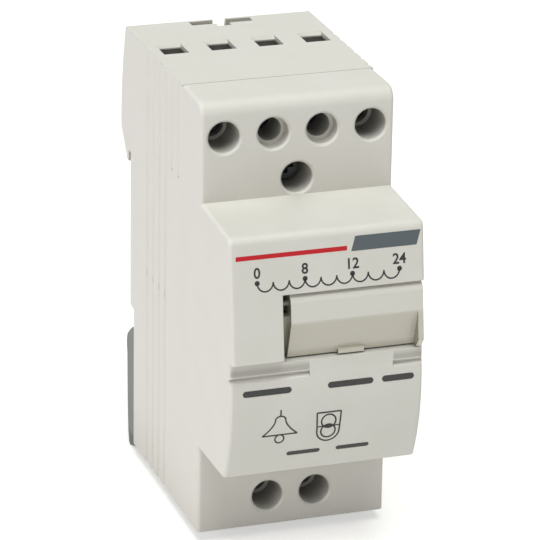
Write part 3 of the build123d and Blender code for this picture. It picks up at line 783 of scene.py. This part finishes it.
def ribbon(panel: Panel, path: np.ndarray, width: Any) -> tuple[np.ndarray, np.ndarray]:
    """A band of even or changing width along a line on a panel.

    At each point of the line, the band's two edges lie half a width to the right and to the left
    of the line's direction, which is the difference of the neighbouring points.

    Args:
        panel: Function that places flat points on the panel.
        path: Points (n, 2) of the line, across and up, in millimetres.
        width: Width in millimetres, one for all or one for each point.

    Returns:
        Points in metres and quads.
    """
    along = np.gradient(path, axis=0)
    along /= np.linalg.norm(along, axis=1, keepdims=True)
    half = np.broadcast_to(width, len(path))[:, None] / 2
    left = np.stack([-along[:, 1], along[:, 0]], axis=1) * half
    side = np.linspace(-1.0, 1.0, 3)[None, :, None]
    flat = path[:, None, :] + left[:, None, :] * side
    points = panel(flat[..., 0], flat[..., 1]).reshape(-1, 3)
    return points, sheet_faces(len(path), 3)


def arc(x: float, z: float, radius: tuple[float, float], start: float, end: float, count: int) -> np.ndarray:
    """Points of an ellipse's arc: centre plus radii times cosine and sine of the angle.

    Args:
        x: Centre across, in millimetres.
        z: Centre height, in millimetres.
        radius: Half width and half height, in millimetres.
        start: First angle in degrees, from the right, anticlockwise.
        end: Last angle in degrees.
        count: Number of points.

    Returns:
        Points (count, 2).
    """
    angle = np.radians(np.linspace(start, end, count))
    return np.stack([x + radius[0] * np.cos(angle), z + radius[1] * np.sin(angle)], axis=1)


def dot(panel: Panel, x: float, z: float, radius: float) -> tuple[np.ndarray, np.ndarray]:
    """A round spot: a square grid of points pressed out to a circle.

    Args:
        panel: Function that places flat points on the panel.
        x: Centre across, in millimetres.
        z: Centre height, in millimetres.
        radius: Radius in millimetres.

    Returns:
        Points in metres and quads.
    """
    count = 9
    side = np.linspace(-1.0, 1.0, count)
    u, v = np.meshgrid(side, side, indexing="ij")
    across = u * np.sqrt(1 - v ** 2 / 2)
    upward = v * np.sqrt(1 - u ** 2 / 2)
    points = panel(x + radius * across, z + radius * upward).reshape(-1, 3)
    return points, sheet_faces(count, count)


@dataclass
class Print:
    """What is printed on the nose: stripe, tap scale with plain numbers, bars and two signs."""

    face: NoseFace
    film: float = 0.012
    stripe: tuple[float, float, float, float] = (-16.76, 3.55, 18.05, 18.85)
    taps: tuple[float, ...] = (-12.98, -4.26, 4.46, 13.16)
    tap_z: float = 13.85
    tap_radius: float = 0.46
    loops_per_tap: int = 3
    loop_depth: float = 1.6
    loop_width: float = 0.27
    number_z: float = 14.75
    number_height: float = 1.95
    number_weight: float = 0.02
    number_squeeze: float = 0.95
    numbers: tuple[str, ...] = ("0", "8", "12", "24")
    patch: tuple[float, float, float, float] = (4.3, 16.4, 17.8, 20.45)
    patch_slant: float = 0.3
    upper_bars: tuple[Span, ...] = ((-15.6, -6.6), (0.1, 8.6), (10.2, 16.2))
    upper_bars_z: float = -6.45
    upper_bar_height: float = 1.15
    lower_bars: tuple[Span, ...] = ((-6.8, -0.6), (2.4, 8.6))
    lower_bars_z: float = -19.4
    lower_bar_height: float = 0.85
    bell_line: float = 0.27
    symbol_line: float = 0.29
    symbol_belt: float = 0.24

    def build(self) -> None:
        """Builds every printed piece."""
        self.build_stripe()
        self.build_patch()
        self.build_scale()
        self.build_numbers()
        self.build_bars()
        self.build_bell()
        self.build_symbol()

    def build_stripe(self) -> None:
        """A straight red bar near the nose's top edge."""
        x0, x1, z0, z1 = self.stripe
        path = np.stack([np.linspace(x0, x1, 40), np.full(40, (z0 + z1) / 2)], axis=1)
        points, faces = ribbon(self.face.upper, path, z1 - z0)
        make_piece("print_stripe", points, faces, RED_INK, self.film * MM)

    def build_patch(self) -> None:
        """A plain slanted field beside the stripe: its ends lean over with the height."""
        x0, x1, z0, z1 = self.patch
        across, up = np.meshgrid(np.linspace(x0, x1, 25), np.linspace(z0, z1, 7), indexing="ij")
        points = self.face.upper(across + (up - z0) * self.patch_slant, up).reshape(-1, 3)
        make_piece("print_slate_field", points, sheet_faces(25, 7), SLATE_INK, self.film * MM)

    def build_scale(self) -> None:
        """Dots at the taps, and hanging half ellipses that meet in points between neighbours."""
        parts = [dot(self.face.upper, x, self.tap_z, self.tap_radius) for x in self.taps]
        for left, right in zip(self.taps[:-1], self.taps[1:]):
            span = (right - left) / self.loops_per_tap
            for index in range(self.loops_per_tap):
                middle = left + span * (index + 0.5)
                loop = arc(middle, self.tap_z, (span / 2, self.loop_depth), 180, 360, 25)
                parts.append(ribbon(self.face.upper, loop, self.loop_width))
        points, faces = join_parts(parts)
        make_piece("print_tap_scale", points, faces, BLACK_INK, self.film * MM)

    def build_numbers(self) -> None:
        """The four tap numbers, set from Blender's own typeface and laid on the panel."""
        flat: list[np.ndarray] = []
        faces: list[list[int]] = []
        for body, x in zip(self.numbers, self.taps):
            curve = bpy.data.curves.new("number", "FONT")
            curve.body = body
            curve.align_x = "CENTER"
            curve.resolution_u = 5
            curve.offset = self.number_weight
            letters = bpy.data.objects.new("number", curve)
            bpy.context.scene.collection.objects.link(letters)
            bpy.context.view_layer.update()
            shaped = letters.evaluated_get(bpy.context.evaluated_depsgraph_get())
            mesh = bpy.data.meshes.new_from_object(shaped)
            corners = np.empty(len(mesh.vertices) * 3)
            mesh.vertices.foreach_get("co", corners)
            corners = corners.reshape(-1, 3)
            scale = self.number_height / (corners[:, 1].max() - corners[:, 1].min())
            base = sum(len(block) for block in flat)
            across = x + corners[:, 0] * scale * self.number_squeeze
            flat.append(np.stack([across, self.number_z + corners[:, 1] * scale], axis=1))
            faces += [[base + corner for corner in face.vertices] for face in mesh.polygons]
            bpy.data.objects.remove(letters)
            bpy.data.curves.remove(curve)
            bpy.data.meshes.remove(mesh)
        places = np.concatenate(flat)
        points = self.face.upper(places[:, 0], places[:, 1])
        make_piece("print_tap_numbers", points, faces, BLACK_INK, self.film * MM)

    def build_bars(self) -> None:
        """Plain bars with round ends in two rows on the lower panel."""
        parts = [self.bar(x0, x1, self.upper_bars_z, self.upper_bar_height) for x0, x1 in self.upper_bars]
        parts += [self.bar(x0, x1, self.lower_bars_z, self.lower_bar_height) for x0, x1 in self.lower_bars]
        points, faces = join_parts(parts)
        make_piece("print_plain_bars", points, faces, GREY_INK, self.film * MM)

    def bar(self, x0: float, x1: float, z: float, height: float) -> tuple[np.ndarray, np.ndarray]:
        """One bar on the lower panel: half its height is the radius of its ends.

        Args:
            x0: Left end, in millimetres.
            x1: Right end, in millimetres.
            z: Height of its middle line, in millimetres.
            height: Height of the bar, in millimetres.

        Returns:
            Points in metres and quads.
        """
        count = 41
        path = np.stack([x0 + (x1 - x0) * np.linspace(0.0, 1.0, count), np.full(count, z)], axis=1)
        reach = np.minimum(path[:, 0] - x0, x1 - path[:, 0])
        ends = np.clip(reach / (height / 2), 0.0, 1.0)
        least_square = 0.04
        width = height * np.sqrt(np.maximum(1 - (1 - ends) ** 2, least_square))
        return ribbon(self.face.lower, path, width)

    def build_bell(self) -> None:
        """A bell in outline: stem, crown, sides whose half width grows with a power, rim and clapper."""
        x, half, rim_z = -8.5, 3.25, -15.1
        crown_z, crown_half, crown_rise, stem_top = -12.1, 0.95, 0.75, -10.1
        clapper_drop, clapper_radius = 0.85, 0.82
        flare = 1.7
        t = np.linspace(0.0, 1.0, 25)
        side = crown_half + (half - crown_half) * t ** flare
        height = crown_z + (rim_z - crown_z) * t
        lines = (
            np.stack([x - side, height], axis=1), np.stack([x + side, height], axis=1),
            arc(x, crown_z, (crown_half, crown_rise), 0, 180, 17),
            arc(x, rim_z - clapper_drop, (clapper_radius, clapper_radius), -250, 70, 33),
            np.stack([np.linspace(x - half, x + half, 25), np.full(25, rim_z)], axis=1),
            np.stack([np.full(9, x), np.linspace(crown_z + crown_rise, stem_top, 9)], axis=1),
        )
        parts = [ribbon(self.face.lower, line, self.bell_line) for line in lines]
        points, faces = join_parts(parts)
        make_piece("print_bell_sign", points, faces, BLACK_INK, self.film * MM)

    def build_symbol(self) -> None:
        """A shield with a round foot about two crossing circles, the plain sign for a transformer."""
        x, middle, apart, radius = 0.5, -14.4, 1.0, 1.33
        top, top_half, half = -11.6, 2.24, 2.07
        lines = [arc(x, middle + step, (radius, radius), 0, 360, 41) for step in (apart, -apart)]
        lines.append(arc(x, middle - apart, (half, half), 180, 360, 33))
        t = np.linspace(0.0, 1.0, 9)[:, None]
        corners = ((-half, middle - apart), (-top_half, top), (top_half, top), (half, middle - apart))
        for start, end in zip(corners[:-1], corners[1:]):
            lines.append(np.array([x, 0.0]) + np.array(start) * (1 - t) + np.array(end) * t)
        parts = [ribbon(self.face.lower, line, self.symbol_line) for line in lines]
        across = np.linspace(x - half, x + half, 41)
        lens = 2 * (np.sqrt(np.maximum(radius ** 2 - (across - x) ** 2, 0.0)) - apart)
        belt = np.stack([across, np.full(41, middle)], axis=1)
        parts.append(ribbon(self.face.lower, belt, np.maximum(lens, self.symbol_belt)))
        points, faces = join_parts(parts)
        make_piece("print_transformer_sign", points, faces, BLACK_INK, self.film * MM)


@dataclass
class Housing:
    """Both moulded halves and the screw that joins them."""

    shells: tuple[str, ...] = ("rear_casing", "front_cover")
    screw: str = "casing_screw"

    def build(self) -> None:
        """Dresses the halves and the screw."""
        dress(self.shells, HOUSING)
        dress([self.screw], ZINC)


@dataclass
class LabelWindow:
    """The hinged flap and the card below it."""

    flap: str = "label_cover"
    card: str = "label_card"

    def build(self) -> None:
        """Dresses the flap and the card."""
        dress([self.flap], FLAP)
        dress([self.card], CARD)


@dataclass
class RailGrip:
    """The sliding clip and its spring."""

    clip: str = "rail_clip"
    spring: str = "clip_spring"

    def build(self) -> None:
        """Dresses the clip and the spring."""
        dress([self.clip], CLIP)
        dress([self.spring], SPRING)


@dataclass
class Terminals:
    """Six rising-cage terminals."""

    count: int = 6

    def build(self) -> None:
        """Dresses cages, screws and bars."""
        numbers = range(1, self.count + 1)
        dress([f"terminal_{part}_{number}" for part in ("cage", "screw") for number in numbers], ZINC)
        dress([f"terminal_bar_{number}" for number in numbers], TINNED)


@dataclass
class Windings:
    """Core, bobbin, windings, tapes, cut-out and leads inside the housing."""

    core: tuple[str, ...] = ("core_e_stack", "core_i_stack")
    tapes: tuple[str, ...] = ("primary_tape", "secondary_tape")

    def build(self) -> None:
        """Dresses the pieces inside."""
        dress(self.core, CORE)
        dress(["bobbin"], BOBBIN)
        dress(["primary_winding"], PRIMARY_WIRE)
        dress(["secondary_winding"], SECONDARY_WIRE)
        dress(self.tapes, TAPE)
        dress(["thermal_cutout"], CUTOUT)
        dress(["primary_leads"], BLUE_LEAD)
        dress(["secondary_leads"], WHITE_LEAD)


def direction(azimuth: float, elevation: float) -> Vector:
    """Direction from the part at two angles: x = sin a cos e, y = -cos a cos e, z = sin e.

    Args:
        azimuth: Angle round the part in degrees, zero in front, growing to the right.
        elevation: Angle above the floor in degrees.

    Returns:
        Vector of length one.
    """
    a, e = math.radians(azimuth), math.radians(elevation)
    return Vector((math.sin(a) * math.cos(e), -math.cos(a) * math.cos(e), math.sin(e)))


@dataclass(frozen=True)
class SoftLight:
    """A square soft light that faces the part: angles in degrees, lengths in metres."""

    name: str
    azimuth: float
    elevation: float
    watts: float
    colour: str = "ffffff"
    distance: float = 1.3
    size: float = 0.9

    def build(self) -> None:
        """Adds the light at its two angles and its distance."""
        place = direction(self.azimuth, self.elevation) * self.distance
        data = bpy.data.lights.new(self.name, "AREA")
        data.size = self.size
        data.energy = self.watts
        data.color = linear(self.colour)[:3]
        lamp = bpy.data.objects.new(self.name, data)
        lamp.location = place
        lamp.rotation_euler = place.to_track_quat("Z", "Y").to_euler()
        bpy.context.scene.collection.objects.link(lamp)
        lamp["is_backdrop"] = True


@dataclass
class Studio:
    """Floor, soft lights and the camera, placed as the photograph was taken."""

    azimuth: float = -18.71732
    elevation: float = 21.36441
    roll: float = 0.951708
    distance: float = 0.689516
    right_of_target: float = -0.0099461
    above_target: float = -0.0306593
    target_z: float = -0.0409
    lens_mm: float = 236.69063
    sensor_mm: float = 36.0
    floor_half: float = 3.0
    world_strength: float = 0.21
    world_colour: str = "ffffff"
    lights: tuple[SoftLight, ...] = (
        SoftLight("top_light", -12.0, 74.0, 12.0, "fcfff4"),
        SoftLight("left_light", -90.0, 10.0, 6.3, "fff9fc"),
        SoftLight("front_light", -30.0, 10.0, 2.7, "fffbfb"),
    )

    def build(self) -> None:
        """Sets the view, the lights, the floor and the camera."""
        bpy.context.scene.view_settings.view_transform = "Standard"
        self.build_world()
        for light in self.lights:
            light.build()
        self.build_floor()
        self.build_camera()

    def build_world(self) -> None:
        """Even light from all round, seen as plain white."""
        world = bpy.data.worlds.new("studio")
        world.use_nodes = True
        tree = world.node_tree
        tree.nodes.clear()
        seen = looked_at(tree, ("Is Camera Ray", "Is Glossy Ray"))
        level = share(tree, seen, (0.0, 1.0), (self.world_strength, 1.0))
        sky = add(tree, "Background", {"Color": linear(self.world_colour), "Strength": level})
        add(tree, "OutputWorld", {"Surface": sky.outputs[0]})
        bpy.context.scene.world = world

    def build_floor(self) -> None:
        """A flat white sheet under the lowest point of the part: a grid at one height."""
        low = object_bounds()[0][2]
        count = 5
        side = np.linspace(-self.floor_half, self.floor_half, count)
        x, y = np.meshgrid(side, side, indexing="ij")
        points = np.stack([x, y, np.full_like(x, low)], axis=-1).reshape(-1, 3)
        mesh = bpy.data.meshes.new("floor")
        mesh.from_pydata(points.tolist(), [], sheet_faces(count, count).tolist())
        mesh.materials.append(FloorSheet().material())
        floor = bpy.data.objects.new("floor", mesh)
        bpy.context.scene.collection.objects.link(floor)
        floor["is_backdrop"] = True

    def build_camera(self) -> None:
        """Puts the camera where the photograph's edges say it stood."""
        a, r = math.radians(self.azimuth), math.radians(self.roll)
        back = direction(self.azimuth, self.elevation)
        right = Vector((math.cos(a), math.sin(a), 0.0))
        up = back.cross(right)
        turned_right = right * math.cos(r) + up * math.sin(r)
        turned_up = up * math.cos(r) - right * math.sin(r)
        place = (back * self.distance - turned_right * self.right_of_target
                 - turned_up * self.above_target + Vector((0.0, 0.0, self.target_z)))
        data = bpy.data.cameras.new("camera")
        data.lens = self.lens_mm
        data.sensor_width = self.sensor_mm
        camera = bpy.data.objects.new("camera", data)
        axes = Matrix((turned_right, turned_up, back)).transposed().to_4x4()
        camera.matrix_world = Matrix.Translation(place) @ axes
        bpy.context.scene.collection.objects.link(camera)
        bpy.context.scene.camera = camera


def main() -> None:
    """Builds the model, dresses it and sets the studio."""
    logging.basicConfig(level=logging.INFO, format="%(name)s: %(message)s")
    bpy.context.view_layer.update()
    for assembly in (Housing(), LabelWindow(), RailGrip(), Terminals(), Windings(), Print(NoseFace())):
        assembly.build()
        LOG.info("finished %s", type(assembly).__name__)
    Studio().build()


if __name__ == "__main__":
    main()
